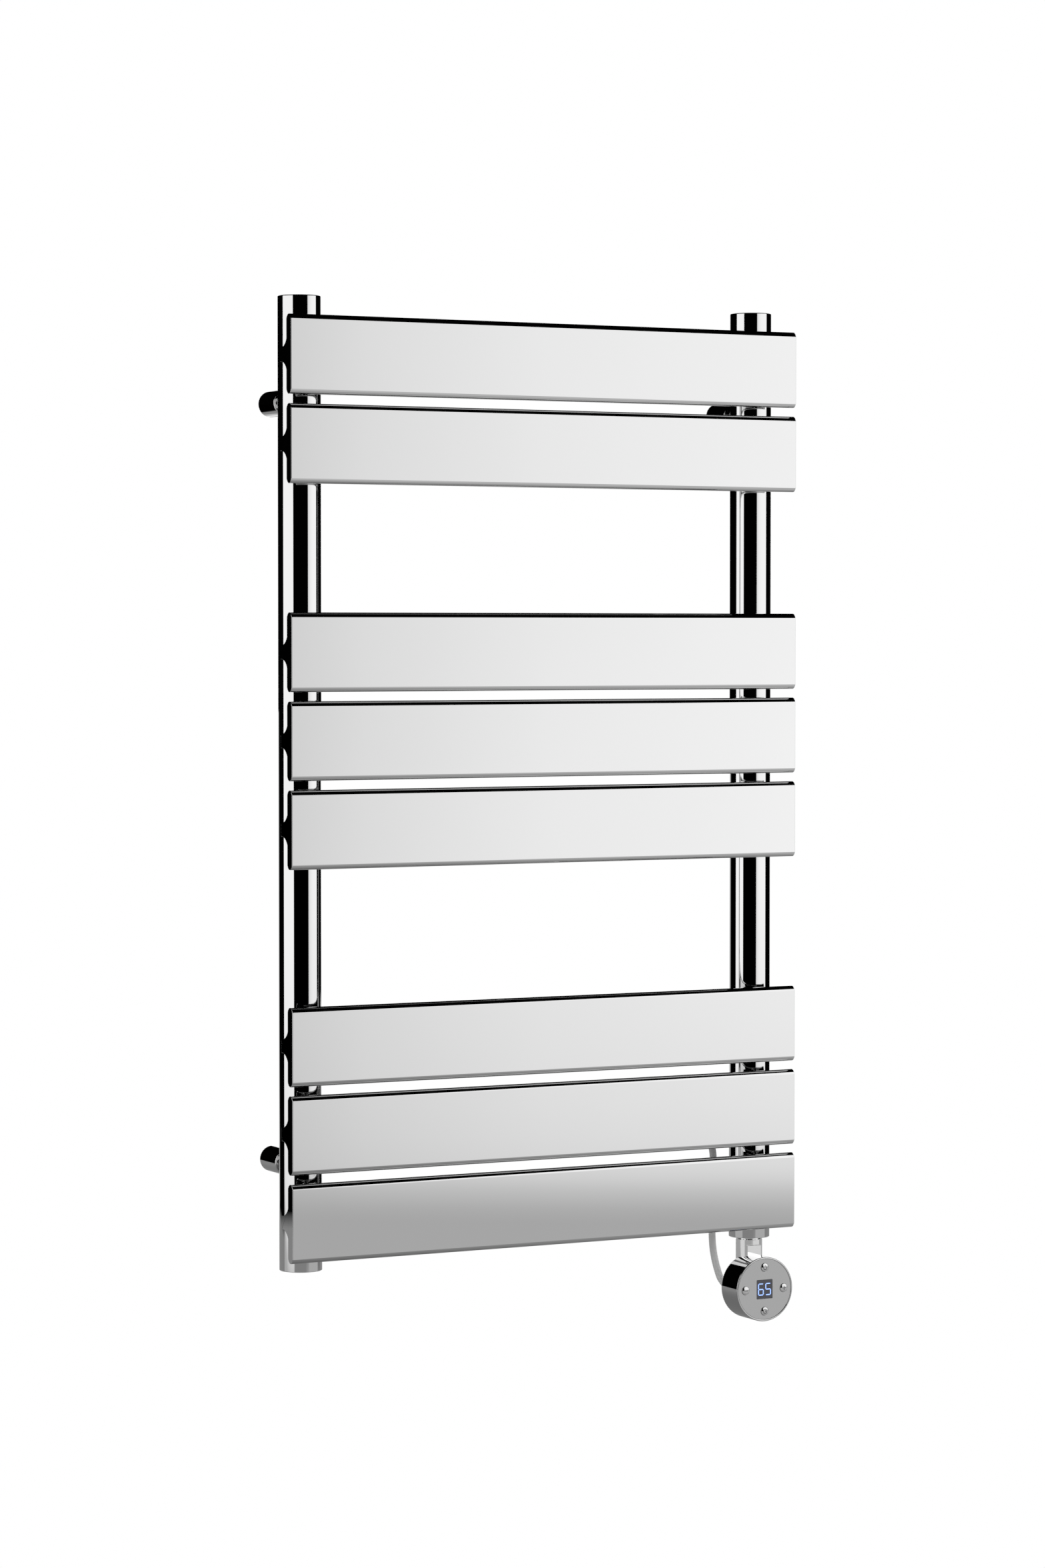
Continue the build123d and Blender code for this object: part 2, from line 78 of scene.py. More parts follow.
# ---------------------------------------------------------------- materials
def material(name):
    """A new material with its node tree and its shader."""
    made = bpy.data.materials.new(name)
    made.use_nodes = True
    tree = made.node_tree
    return made, tree, tree.nodes["Principled BSDF"]


def link(tree, output, target):
    tree.links.new(output, target)


def object_place(tree):
    """The shaded point in object space."""
    return tree.nodes.new("ShaderNodeTexCoord").outputs["Object"]


def noise(tree, scale, detail=2.0, stretch=(1, 1, 1)):
    """Noise in object space, optionally stretched."""
    mapping = tree.nodes.new("ShaderNodeMapping")
    mapping.inputs["Scale"].default_value = stretch
    texture = tree.nodes.new("ShaderNodeTexNoise")
    texture.inputs["Scale"].default_value = scale
    texture.inputs["Detail"].default_value = detail
    link(tree, object_place(tree), mapping.inputs["Vector"])
    link(tree, mapping.outputs["Vector"], texture.inputs["Vector"])
    return texture.outputs["Fac"]


# Noise scales are per metre.
NOISE_LOW, NOISE_HIGH = 0.3, 0.7
TINT_SCALE = 5.0
STEEL_GROOVE_SCALE = 900.0
SKIN_SCALE = 1400.0
PATCH_SCALE = 60.0


def spread(tree, value, low, high):
    """Maps noise, which seldom leaves its own low and high, onto low to high."""
    ranged = tree.nodes.new("ShaderNodeMapRange")
    ranged.inputs["From Min"].default_value = NOISE_LOW
    ranged.inputs["From Max"].default_value = NOISE_HIGH
    ranged.inputs["To Min"].default_value = low
    ranged.inputs["To Max"].default_value = high
    link(tree, value, ranged.inputs["Value"])
    return ranged.outputs["Result"]


def tint(tree, value, dark, light):
    """A colour between two shades, led by noise."""
    ramp = tree.nodes.new("ShaderNodeValToRGB")
    ramp.color_ramp.elements[0].position = NOISE_LOW
    ramp.color_ramp.elements[1].position = NOISE_HIGH
    ramp.color_ramp.elements[0].color = (*dark, 1)
    ramp.color_ramp.elements[1].color = (*light, 1)
    link(tree, value, ramp.inputs["Fac"])
    return ramp.outputs["Color"]


def bump(tree, shader, height, strength, distance):
    """Relief on a shader, led by a height."""
    node = tree.nodes.new("ShaderNodeBump")
    node.inputs["Strength"].default_value = strength
    node.inputs["Distance"].default_value = distance
    link(tree, height, node.inputs["Height"])
    link(tree, node.outputs["Normal"], shader.inputs["Normal"])


def scaled(shade, amount):
    """The same shade, darker."""
    return tuple(channel * amount for channel in shade)


def chrome(name, shade, rough_low, rough_high, haze_scale=14.0):
    """Polished chrome plate: faint wiped haze in its gloss and a trace of tint variation."""
    made, tree, shader = material(name)
    shader.inputs["Metallic"].default_value = 1.0
    haze = noise(tree, haze_scale, 4.0, (1, 1, 2.2))
    link(tree, spread(tree, haze, rough_low, rough_high), shader.inputs["Roughness"])
    link(tree, tint(tree, noise(tree, TINT_SCALE), scaled(shade, 0.985), shade),
         shader.inputs["Base Color"])
    return made


def steel(name, shade, roughness):
    """Turned or drawn steel with fine grooves."""
    made, tree, shader = material(name)
    shader.inputs["Metallic"].default_value = 1.0
    grooves = noise(tree, STEEL_GROOVE_SCALE, 2.0, (1, 1, 0.1))
    link(tree, spread(tree, grooves, roughness * 0.8, roughness * 1.25),
         shader.inputs["Roughness"])
    link(tree, tint(tree, grooves, scaled(shade, 0.9), shade), shader.inputs["Base Color"])
    bump(tree, shader, grooves, 0.12, 0.00005)
    return made


def plastic(name, shade, roughness, grain=0.15, coat=0.0):
    """Moulded plastic or rubber with a fine skin texture."""
    made, tree, shader = material(name)
    shader.inputs["Coat Weight"].default_value = coat
    skin = noise(tree, SKIN_SCALE, 3.0)
    patch = noise(tree, PATCH_SCALE, 3.0)
    link(tree, tint(tree, patch, scaled(shade, 0.93), shade), shader.inputs["Base Color"])
    link(tree, spread(tree, patch, roughness * 0.9, roughness * 1.1), shader.inputs["Roughness"])
    bump(tree, shader, skin, grain, 0.00006)
    return made


def glow(name, shade, strength):
    """A material that gives off light of its own colour."""
    made, _, shader = material(name)
    shader.inputs["Base Color"].default_value = (*shade, 1)
    shader.inputs["Emission Color"].default_value = (*shade, 1)
    shader.inputs["Emission Strength"].default_value = strength
    shader.inputs["Roughness"].default_value = 0.4
    return made


CHROME_SHADE = (0.60, 0.60, 0.60)
panel_chrome = chrome("panel_chrome", CHROME_SHADE, 0.012, 0.03)
tube_chrome = chrome("tube_chrome", CHROME_SHADE, 0.01, 0.025)
sleeve_chrome = chrome("sleeve_chrome", CHROME_SHADE, 0.02, 0.04, 60.0)
head_chrome = chrome("head_chrome", CHROME_SHADE, 0.015, 0.035, 50.0)
face_chrome = chrome("face_chrome", CHROME_SHADE, 0.04, 0.07, 80.0)
button_chrome = chrome("button_chrome", CHROME_SHADE, 0.02, 0.05, 200.0)
fitting_chrome = chrome("fitting_chrome", (0.98, 0.98, 0.98), 0.03, 0.06, 90.0)
screw_steel = steel("screw_steel", (0.42, 0.42, 0.43), 0.28)
element_steel = steel("element_steel", (0.60, 0.60, 0.61), 0.25)
seal_rubber = plastic("seal_rubber", (0.018, 0.018, 0.018), 0.6)
window_dark = plastic("window_dark", (0.045, 0.045, 0.055), 0.12, 0.0, 0.6)
module_black = plastic("module_black", (0.02, 0.02, 0.022), 0.5)
board_green = plastic("board_green", (0.02, 0.16, 0.06), 0.35)
switch_black = plastic("switch_black", (0.02, 0.02, 0.02), 0.4)
relay_black = plastic("relay_black", (0.02, 0.03, 0.06), 0.3)
terminal_white = plastic("terminal_white", (0.75, 0.75, 0.72), 0.35)
cable_grey = plastic("cable_grey", (0.62, 0.62, 0.615), 0.42, 0.12)
tie_white = plastic("tie_white", (0.70, 0.70, 0.68), 0.4)
icon_dark = plastic("icon_dark", (0.03, 0.03, 0.032), 0.45)
digit_blue = glow("digit_blue", (0.27, 0.42, 1.0), 1.0)
digit_off = plastic("digit_off", (0.055, 0.055, 0.07), 0.3)
core_brown = plastic("core_brown", (0.14, 0.055, 0.025), 0.4)
core_blue = plastic("core_blue", (0.02, 0.10, 0.38), 0.4)
core_green = plastic("core_green", (0.10, 0.30, 0.04), 0.4)
ferrule_tin = steel("ferrule_tin", (0.72, 0.72, 0.72), 0.22)

cad_looks = {
    "collector_bottom_fittings": fitting_chrome, "blanking_plug": fitting_chrome,
    "fitting_seals": seal_rubber, "air_vent_body": fitting_chrome, "vent_screw": screw_steel,
    "bracket_posts": tube_chrome, "lower_left_lock_screw": screw_steel,
    "lock_grub_screws": screw_steel, "heating_element": element_steel,
    "temperature_sensor": element_steel, "rear_cover_screws": screw_steel,
    "face_gasket": seal_rubber, "display_module": module_black, "circuit_board": board_green,
    "tact_switches": switch_black, "power_relay": relay_black,
    "terminal_block": terminal_white, "cable_tie": tie_white,
}
for node_name, look in cad_looks.items():
    mesh = nodes[node_name].data
    mesh.materials.clear()
    mesh.materials.append(look)


# ---------------------------------------------------------------- mesh making
def new_object(name, data):
    """An object of that data, in the scene."""
    obj = bpy.data.objects.new(name, data)
    bpy.context.scene.collection.objects.link(obj)
    return obj


def place(obj, body, look, replaced=()):
    """Gives a finished piece its look, its body and the CAD nodes it stands for."""
    obj.data.materials.clear()
    obj.data.materials.append(look)
    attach(obj, body)
    if replaced:
        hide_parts(*replaced)
    return obj


SUPPORT_GAP = 0.08
LONG_STEP = 12 * SUPPORT_GAP
CUT_SHARP_ANGLE = 30
PLATE_SHARP_ANGLE = 20
PRISM_ROUND_STEPS = 4
PRISM_SUPPORT = 0.1


def mesh_piece(name, verts, faces, sharp_angle=None):
    """A smooth-shaded mesh object from points in metres, with its faces turned outward."""
    mesh = bpy.data.meshes.new(name)
    mesh.from_pydata([tuple(v) for v in verts], [], faces)
    mesh.validate()
    shape = bmesh.new()
    shape.from_mesh(mesh)
    bmesh.ops.recalc_face_normals(shape, faces=shape.faces)
    shape.to_mesh(mesh)
    shape.free()
    mesh.polygons.foreach_set("use_smooth", [True] * len(mesh.polygons))
    if sharp_angle is not None:
        mesh.set_sharp_from_angle(angle=radians(sharp_angle))
    return new_object(name, mesh)


def supported(points, closed=False):
    """Adds a point close to each end of every long straight step, so that flats shade flat."""
    made = []
    count = len(points)
    for index in range(count if closed else count - 1):
        a = Vector(points[index])
        b = Vector(points[(index + 1) % count])
        made.append(a)
        length = (b - a).length
        if length > LONG_STEP:
            step = (b - a) * (SUPPORT_GAP / length)
            made += [a + step, b - step]
    if not closed:
        made.append(Vector(points[-1]))
    return made


def arc_points(centre, radius, start, end, steps):
    """Points on an arc in a plane, with angles in degrees."""
    return [(centre[0] + radius * cos(radians(start + (end - start) * k / steps)),
             centre[1] + radius * sin(radians(start + (end - start) * k / steps)))
            for k in range(steps + 1)]


def circle_points(centre, radius, steps):
    """Points on a whole circle, without repeating the first one."""
    return arc_points(centre, radius, 0, 360 * (1 - 1 / steps), steps - 1)


X, Y, Z = (Vector(row) for row in ((1, 0, 0), (0, 1, 0), (0, 0, 1)))
AXES = {"x": (X, Y, Z), "y": (Y, Z, X), "z": (Z, X, Y)}


def lathe(profile, centre, axis, steps=STEPS, closed=False):
    """Vertices and faces of a profile of (radius, distance) in mm, turned about an axis. A point
    on the axis makes one vertex, so that ends close."""
    along, across, over = AXES[axis] if isinstance(axis, str) else axis
    verts = []
    rings = []
    for radius, distance in profile:
        base = centre + along * distance * MM
        if radius < 1e-6:
            rings.append([len(verts)])
            verts.append(base)
            continue
        rings.append(list(range(len(verts), len(verts) + steps)))
        for k in range(steps):
            angle = 2 * pi * k / steps
            verts.append(base + (across * cos(angle) + over * sin(angle)) * radius * MM)
    faces = []
    pairs = list(zip(rings, rings[1:]))
    if closed:
        pairs.append((rings[-1], rings[0]))
    for low, high in pairs:
        for k in range(steps):
            after = (k + 1) % steps
            face = [low[k % len(low)], low[after % len(low)],
                    high[after % len(high)], high[k % len(high)]]
            face = list(dict.fromkeys(face))
            if len(face) > 2:
                faces.append(face)
    return verts, faces


def join_meshes(parts):
    """One list of vertices and faces from several."""
    verts, faces = [], []
    for part_verts, part_faces in parts:
        shift = len(verts)
        verts += part_verts
        faces += [[index + shift for index in face] for face in part_faces]
    return verts, faces


def prism_x(section, low_x, high_x, inset):
    """A closed section of (y, z) points run along X in mm, its end edges rounded by inset."""
    count = len(section)
    normals = []
    for k in range(count):
        before = Vector(section[k - 1])
        after = Vector(section[(k + 1) % count])
        run = after - before
        normals.append(Vector((run.y, -run.x)).normalized())
    middle_x = (low_x + high_x) / 2
    half = (high_x - low_x) / 2
    turns = [pi / 2 * k / PRISM_ROUND_STEPS for k in range(PRISM_ROUND_STEPS + 1)]
    ends = [(half - inset + inset * sin(turn), inset * (1 - cos(turn))) for turn in turns]
    straight = half - inset - PRISM_SUPPORT
    stations = [(-half, inset + PRISM_SUPPORT), *((-x, depth) for x, depth in reversed(ends)),
                (-straight, 0.0), (straight, 0.0), *ends, (half, inset + PRISM_SUPPORT)]
    verts = []
    for x, depth in stations:
        for point, normal in zip(section, normals):
            moved = Vector(point) - normal * depth
            verts.append(Vector((middle_x + x, moved.x, moved.y)) * MM)
    faces = []
    for ring in range(len(stations) - 1):
        for k in range(count):
            after = (k + 1) % count
            base = ring * count
            faces.append([base + k, base + count + k, base + count + after, base + after])
    last = (len(stations) - 1) * count
    faces.append(list(range(count)))
    faces.append([last + k for k in reversed(range(count))])
    return verts, faces


def cut(obj, tools):
    """Cuts closed tool meshes out of a piece."""
    for tool in tools:
        modifier = obj.modifiers.new("cut", "BOOLEAN")
        modifier.operation = "DIFFERENCE"
        modifier.solver = "EXACT"
        modifier.object = tool
        bpy.context.view_layer.objects.active = obj
        bpy.ops.object.modifier_apply(modifier=modifier.name)
        bpy.data.objects.remove(tool)
    obj.data.set_sharp_from_angle(angle=radians(CUT_SHARP_ANGLE))


# ---------------------------------------------------------------- camera and light
# Lengths in metres. A box is its start and end edge on the ground, glows and box stops are
# (place from 0 to 1, level), and fills are (azimuth, elevation, strength).
CAMERA_PLACE = Vector((-1.7458, -3.3987, 0.1295))
CAMERA_TURN = 27.5
CAMERA_DIP = 2.015
LENS = 97.58
SENSOR = 36.0
LIGHT_GAIN = 1.55
SURROUNDINGS_LEVEL = 0.0008
FLOOR_Z = -0.70
FLOOR_HALF = 30.0
FLOOR_GLOW = ((0.0, 0.12), (0.2, 0.15), (0.5, 0.22), (0.93, 0.22), (1.0, 0.0))
FLOOR_LIT_RADIUS = 2.5
BOX_POOL_SPOT = (0.75, -1.02, 0.0)
BOX_POOL = ((0.0, 0.30), (0.3, 0.26), (0.5, 0.19), (0.7, 0.11), (1.0, 0.0))
BOX_POOL_RADIUS = 1.32
BOX_TOP = 0.78
BOX_HEIGHT = BOX_TOP - FLOOR_Z
BOX_FOOT = 0.41
BOX_RISE = [((z - FLOOR_Z) / BOX_HEIGHT, amount) for z, amount in
            ((-0.605, 0.0), (-0.590, 0.09), (-0.568, 0.33), (-0.554, 0.53), (-0.540, 0.65),
             (-0.504, 0.74), (-0.465, 0.80), (-0.395, 0.86), (-0.20, 1.0))]
RIGHT_BOX = ((0.409, -1.68), (1.128, -0.394))
RIGHT_BOX_STOPS = ((0.0, 0.64), (0.12, 0.77), (0.3, 0.88), (0.55, 0.95), (1.0, 0.97))
RIGHT_BOX_TILT = 0.071
LEFT_BOX = ((-1.10, -0.605), (-1.62, 0.80))
LEFT_BOX_STOPS = ((0.0, 0.95), (1.0, 0.97))
BACK_BOX = ((2.05, 1.62), (-0.48, 2.50))
BACK_BOX_STOPS = ((0.0, 0.55), (0.35, 0.85), (0.6, 0.7), (0.8, 0.3), (1.0, 0.06))
BACK_BOX_TOP = 0.02
CARD_LOW = (0.165, -0.36)
CARD_HIGH = (0.40, -0.235)
CARD_Y = 0.23
CARD_GLOW = 0.6
FILL_SPREAD = 50
FILLS = ((-60, 6, 2.3), (0, 6, 2.0), (90, 35, 1.5), (180, 35, 1.5))


def camera():
    """The view that the object is shown in."""
    data = bpy.data.cameras.new("camera")
    data.lens = LENS
    data.sensor_width = SENSOR
    obj = new_object("camera", data)
    obj.location = CAMERA_PLACE
    obj.rotation_euler = (radians(90 - CAMERA_DIP), 0, -radians(CAMERA_TURN))
    bpy.context.scene.camera = obj


def curve_ramp(tree, value, stops):
    """A grey level read off stops of (place from 0 to 1, level)."""
    ramp = tree.nodes.new("ShaderNodeValToRGB")
    elements = ramp.color_ramp.elements
    while len(elements) < len(stops):
        elements.new(0.5)
    for element, (where, level) in zip(elements, stops):
        element.position = where
        element.color = (level, level, level, 1)
    link(tree, value, ramp.inputs["Fac"])
    return ramp.outputs["Color"]


def rise_to(tree, amount, level, colour):
    """A colour that goes from a plain grey level to the given one as the amount grows."""
    node = tree.nodes.new("ShaderNodeMix")
    node.data_type = "RGBA"
    link(tree, amount, node.inputs[0])
    node.inputs[6].default_value = (level, level, level, 1)
    link(tree, colour, node.inputs[7])
    return node.outputs[2]


def divided(tree, value, number):
    """A value divided by a fixed number."""
    node = tree.nodes.new("ShaderNodeMath")
    node.operation = "DIVIDE"
    node.inputs[1].default_value = number
    link(tree, value, node.inputs[0])
    return node.outputs["Value"]


def stage_material(name):
    """An emission material: itself, its node tree, its output and its emission node."""
    made = bpy.data.materials.new(name)
    made.use_nodes = True
    tree = made.node_tree
    tree.nodes.clear()
    output = tree.nodes.new("ShaderNodeOutputMaterial")
    emission = tree.nodes.new("ShaderNodeEmission")
    emission.inputs["Strength"].default_value = LIGHT_GAIN
    return made, tree, output, emission


def softbox(name, start, end, stops, tilt=0.0, top=BOX_TOP):
    """An upright glowing panel standing on the floor. Its light follows stops from its start
    edge to its end edge, and its lowest part, up to a tilted soft line, is only as bright as a
    lit floor."""
    start, end = Vector((*start, 0)), Vector((*end, 0))
    width = (end - start).length
    verts = [(0, 0, 0), (width, 0, 0), (width, 0, top - FLOOR_Z), (0, 0, top - FLOOR_Z)]
    mesh = bpy.data.meshes.new(name)
    mesh.from_pydata(verts, [], [[0, 1, 2, 3]])
    obj = new_object(name, mesh)
    obj.location = (start.x, start.y, FLOOR_Z)
    obj.rotation_euler = (0, 0, atan2(end.y - start.y, end.x - start.x))
    made, tree, output, emission = stage_material(name)
    split = tree.nodes.new("ShaderNodeSeparateXYZ")
    link(tree, object_place(tree), split.inputs["Vector"])
    across = curve_ramp(tree, divided(tree, split.outputs["X"], width), stops)
    tilted = tree.nodes.new("ShaderNodeMath")
    tilted.operation = "MULTIPLY_ADD"
    tilted.inputs[1].default_value = -tilt
    link(tree, split.outputs["X"], tilted.inputs[0])
    link(tree, split.outputs["Z"], tilted.inputs[2])
    rise = curve_ramp(tree, divided(tree, tilted.outputs["Value"], BOX_HEIGHT), BOX_RISE)
    link(tree, rise_to(tree, rise, BOX_FOOT, across), emission.inputs["Color"])
    link(tree, emission.outputs["Emission"], output.inputs["Surface"])
    mesh.materials.append(made)
    obj.visible_camera = False


def ground_distance(tree, spot):
    """How far the shaded point is from a spot, measured along the ground."""
    flat = tree.nodes.new("ShaderNodeVectorMath")
    flat.operation = "MULTIPLY"
    flat.inputs[1].default_value = (1, 1, 0)
    link(tree, object_place(tree), flat.inputs[0])
    away = tree.nodes.new("ShaderNodeVectorMath")
    away.operation = "DISTANCE"
    away.inputs[1].default_value = spot
    link(tree, flat.outputs["Vector"], away.inputs[0])
    return away.outputs["Value"]


def floor_material():
    """White to the camera. To everything else it is dark, with a wide dim pool of light round
    the object and a brighter one at the foot of the right softbox."""
    made, tree, output, emission = stage_material("studio_floor")
    both = tree.nodes.new("ShaderNodeVectorMath")
    pools = (((0, 0, 0), FLOOR_LIT_RADIUS, FLOOR_GLOW), (BOX_POOL_SPOT, BOX_POOL_RADIUS, BOX_POOL))
    for index, (spot, radius, glow_stops) in enumerate(pools):
        pool = curve_ramp(tree, divided(tree, ground_distance(tree, spot), radius), glow_stops)
        link(tree, pool, both.inputs[index])
    link(tree, both.outputs["Vector"], emission.inputs["Color"])
    pale = tree.nodes.new("ShaderNodeEmission")
    path = tree.nodes.new("ShaderNodeLightPath")
    mix = tree.nodes.new("ShaderNodeMixShader")
    link(tree, path.outputs["Is Camera Ray"], mix.inputs["Fac"])
    link(tree, emission.outputs["Emission"], mix.inputs[1])
    link(tree, pale.outputs["Emission"], mix.inputs[2])
    link(tree, mix.outputs["Shader"], output.inputs["Surface"])
    return made


def light_card():
    """A small glowing card behind the head, which the drum's upper side picks up."""
    (low_x, low_z), (high_x, high_z) = CARD_LOW, CARD_HIGH
    verts = [(low_x, CARD_Y, low_z), (high_x, CARD_Y, low_z), (high_x, CARD_Y, high_z),
             (low_x, CARD_Y, high_z)]
    card = mesh_piece("light_card", verts, [[0, 1, 2, 3]])
    made, tree, output, emission = stage_material("light_card")
    emission.inputs["Color"].default_value = (CARD_GLOW, CARD_GLOW, CARD_GLOW, 1)
    link(tree, emission.outputs["Emission"], output.inputs["Surface"])
    card.data.materials.append(made)
    card.visible_camera = False


def fill_light(name, azimuth, elevation, strength):
    """Very soft light for the matt pieces, which the chrome doesn't reflect."""
    light = bpy.data.lights.new(name, "SUN")
    light.energy = strength
    light.angle = radians(FILL_SPREAD)
    obj = new_object(name, light)
    obj.rotation_euler = (radians(90 - elevation), 0, radians(azimuth))
    obj.visible_glossy = False


def studio():
    """The floor, the lit boxes, the soft lights and the dark surroundings."""
    corners = ((-1, -1), (1, -1), (1, 1), (-1, 1))
    floor = mesh_piece("floor", [(x * FLOOR_HALF, y * FLOOR_HALF, FLOOR_Z) for x, y in corners],
                       [[0, 1, 2, 3]])
    floor.data.materials.append(floor_material())
    softbox("right_softbox", *RIGHT_BOX, RIGHT_BOX_STOPS, RIGHT_BOX_TILT)
    softbox("left_softbox", *LEFT_BOX, LEFT_BOX_STOPS)
    softbox("back_softbox", *BACK_BOX, BACK_BOX_STOPS, top=BACK_BOX_TOP)
    light_card()
    for turn, (azimuth, elevation, strength) in enumerate(FILLS):
        fill_light(f"fill_{turn}", azimuth, elevation, strength)
    world = bpy.data.worlds.new("studio")
    world.use_nodes = True
    tree = world.node_tree
    tree.nodes.clear()
    output = tree.nodes.new("ShaderNodeOutputWorld")
    seen = tree.nodes.new("ShaderNodeBackground")
    dark = tree.nodes.new("ShaderNodeBackground")
    dark.inputs["Strength"].default_value = SURROUNDINGS_LEVEL
    path = tree.nodes.new("ShaderNodeLightPath")
    mix = tree.nodes.new("ShaderNodeMixShader")
    seen.inputs["Color"].default_value = (1, 1, 1, 1)
    link(tree, path.outputs["Is Camera Ray"], mix.inputs["Fac"])
    link(tree, dark.outputs["Background"], mix.inputs[1])
    link(tree, seen.outputs["Background"], mix.inputs[2])
    link(tree, mix.outputs["Shader"], output.inputs["Surface"])
    bpy.context.scene.world = world
    bpy.context.scene.view_settings.view_transform = "Standard"


camera()
studio()


# ---------------------------------------------------------------- panels and collectors
# Lengths in mm. An edge's arcs are (radius, first angle, last angle, steps).
EDGE_ARCS = ((0.7, 0, 20, 4), (7.3, 20, 50, 9), (3.7, 50, 90, 9))
PANEL_END_ROUND = 0.35
TUBE_WALL = 2.0
TUBE_INSIDE_SEEN = 16.0
TUBE_LIP = 0.3
CAP_ROUND = 0.8
PANELS = [f"panel_{number}" for number in range(1, 9)]


def edge_curve():
    """One rolled long edge: (setback from the face, distance from its flat part) in mm, from the
    face round to the edge. It leaves the face crisply, then turns in a larger and a smaller arc."""
    points = [(0.0, 0.0)]
    for radius, start, end, steps in EDGE_ARCS:
        base_y, base_z = points[-1]
        for k in range(1, steps + 1):
            angle = radians(start + (end - start) * k / steps)
            points.append((base_y + radius * (cos(radians(start)) - cos(angle)),
                           base_z + radius * (sin(angle) - sin(radians(start)))))
    return points


def panel_section(low, high):
    """A flat tube's outline of (y, z) points in mm, with its flats supported."""
    edge = edge_curve()
    reach = edge[-1][1]
    upper_front = [(low[0] + y, high[1] - reach + z) for y, z in edge]
    upper_back = [(low[0] + high[0] - y, z) for y, z in reversed(upper_front)]
    upper = upper_front + upper_back
    lower = [(y, low[1] + high[1] - z) for y, z in reversed(upper)]
    return supported((upper + lower)[::-1], closed=True)


def panels():
    """Flat tubes with round long edges and closed, slightly rounded ends."""
    for name in PANELS:
        low, high = (corner / MM for corner in node_box(name))
        section = panel_section((low.y, low.z), (high.y, high.z))
        shell = mesh_piece(f"{name}_shell", *prism_x(section, low.x, high.x, PANEL_END_ROUND))
        stands_for = [name, "panel_end_caps"] if name == PANELS[0] else [name]
        place(shell, "rack", panel_chrome, stands_for)


def collectors():
    """Round tubes, open at the bottom round their fittings and closed by a cap on top."""
    cap_top = node_box("collector_top_caps")[1].z
    for side in ("left", "right"):
        low, high = node_box(f"{side}_collector")
        radius = (high.x - low.x) / 2 / MM
        height = (cap_top - low.z) / MM
        bore = radius - TUBE_WALL
        profile = [(bore, TUBE_INSIDE_SEEN), (bore, TUBE_LIP), (bore + TUBE_LIP, 0),
                   (radius - TUBE_LIP, 0), (radius, TUBE_LIP), (radius, height - CAP_ROUND)]
        profile += arc_points((radius - CAP_ROUND, height - CAP_ROUND), CAP_ROUND, 0, 90, 6)[1:]
        profile.append((0, height))
        centre = Vector(((low.x + high.x) / 2, (low.y + high.y) / 2, low.z))
        tube = mesh_piece(f"{side}_collector_tube",
                          *lathe(supported(profile), centre, "z", FINE_STEPS))
        stands_for = [f"{side}_collector"]
        if side == "left":
            stands_for.append("collector_top_caps")
        place(tube, "rack", tube_chrome, stands_for)


def arc_through(start, middle, end, steps):
    """Points on the circle through three points."""
    (ax, ay), (bx, by), (cx, cy) = start, middle, end
    d = 2 * (ax * (by - cy) + bx * (cy - ay) + cx * (ay - by))
    a, b, c = ax * ax + ay * ay, bx * bx + by * by, cx * cx + cy * cy
    centre = ((a * (by - cy) + b * (cy - ay) + c * (ay - by)) / d,
              (a * (cx - bx) + b * (ax - cx) + c * (bx - ax)) / d)
    radius = hypot(ax - centre[0], ay - centre[1])
    first = atan2(ay - centre[1], ax - centre[0])
    last = atan2(cy - centre[1], cx - centre[0])
    last += 2 * pi * round((first - last) / (2 * pi))
    return [(centre[0] + radius * cos(first + (last - first) * k / steps),
             centre[1] + radius * sin(first + (last - first) * k / steps))
            for k in range(steps + 1)]


SADDLE_ROOT = 12.9
SADDLE_FLANK = (5.0, 7.6)
SADDLE_TIP = 6.0
SADDLE_DEPTH = 13.0
SADDLE_SINK = 0.6
SADDLE_STEPS = 14
SADDLE_END_ROUND = 0.2


def saddle_section(root_y, tip_y, middle_z):
    """A rib with hollow flanks, broad where it is welded to the panel."""
    flank_y = root_y + SADDLE_FLANK[0]
    lower = arc_through((root_y, middle_z - SADDLE_ROOT), (flank_y, middle_z - SADDLE_FLANK[1]),
                        (tip_y, middle_z - SADDLE_TIP), SADDLE_STEPS)
    upper = [(y, 2 * middle_z - z) for y, z in reversed(lower)]
    sunk = root_y - SADDLE_SINK
    return supported([(sunk, middle_z - SADDLE_ROOT), *lower, *upper,
                      (sunk, middle_z + SADDLE_ROOT)], closed=True)


def saddles():
    """A row of ribs on each side, one behind each panel."""
    for side in ("left", "right"):
        low, high = (corner / MM for corner in node_box(f"{side}_saddles"))
        root_y = node_box(PANELS[0])[1].y / MM
        tip_y = root_y + SADDLE_DEPTH
        ribs = []
        for name in PANELS:
            section = saddle_section(root_y, tip_y, node_middle(name).z / MM)
            ribs.append(prism_x(section, low.x, high.x, SADDLE_END_ROUND))
        ribs = mesh_piece(f"{side}_saddle_ribs", *join_meshes(ribs), 35)
        place(ribs, "rack", panel_chrome, [f"{side}_saddles"])


# ---------------------------------------------------------------- wall brackets
# Lengths in mm. The weld's profile is (beyond the post's radius, distance from its root).
SLEEVE_MOUTH = 0.8
SLEEVE_BACK_EDGE = 0.3
SLEEVE_BASE = 3.0
BORE_GAP = 0.05
BORE_EDGE = 0.25
WALL_HOLE = 3.0
SCREW_DEPTH = 25.0
HEADED_SCREW_HOLE = 1.5
GRUB_SCREW_HOLE = 2.0
SLEEVES = ("lower_left", "lower_right", "upper_left", "upper_right")
POST_SINK = 4.0
POST_EDGE = 0.6
POST_WELD = ((1.5, 0), (1.5, 2.6), (1.3, 3.8), (0.6, 4.5), (0, 5.2))


def bar(name, radius, start, end, axis, centre):
    """A closed round bar, for cutting holes."""
    profile = [(0, start), (radius, start), (radius, end), (0, end)]
    return mesh_piece(name, *lathe(profile, centre, axis, BAR_STEPS))


